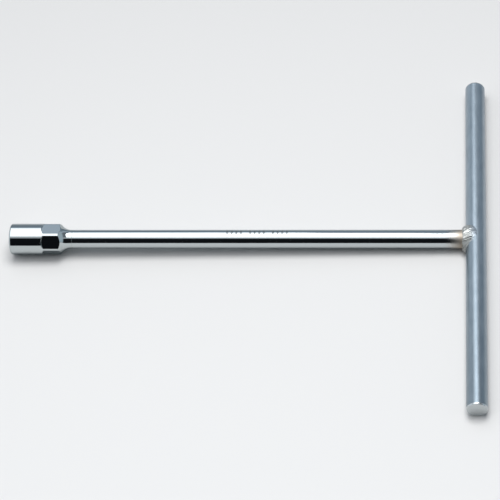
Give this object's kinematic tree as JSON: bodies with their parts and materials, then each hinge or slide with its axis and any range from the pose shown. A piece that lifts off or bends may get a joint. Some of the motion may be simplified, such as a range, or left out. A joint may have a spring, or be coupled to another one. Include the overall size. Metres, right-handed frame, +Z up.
{
  "type": "T-handle socket wrench",
  "caption": "Fixed T-handle socket wrench: hexagon socket head with milled waist on a long round shaft, cross bar welded across its end.",
  "frame": {"origin": "centre of the socket's mouth, on the shaft's axis", "axes": "+X along the shaft from the mouth to the cross bar, Y along the cross bar, +Z up as it lies on a bench"},
  "size_m": [0.3065, 0.265, 0.02],
  "materials": {
    "polished_chrome": "polished chrome plate",
    "drawn_chrome": "chrome plate over drawn bar",
    "satin_plate": "satin blue-grey plate",
    "weld_metal": "plated weld metal, rippled"
  },
  "bodies": {
    "root": {"socket_head": "polished_chrome", "shaft": "drawn_chrome", "cross_bar": "satin_plate", "weld_bead_lower": "weld_metal", "weld_bead_upper": "weld_metal"}
  },
  "joints": []
}
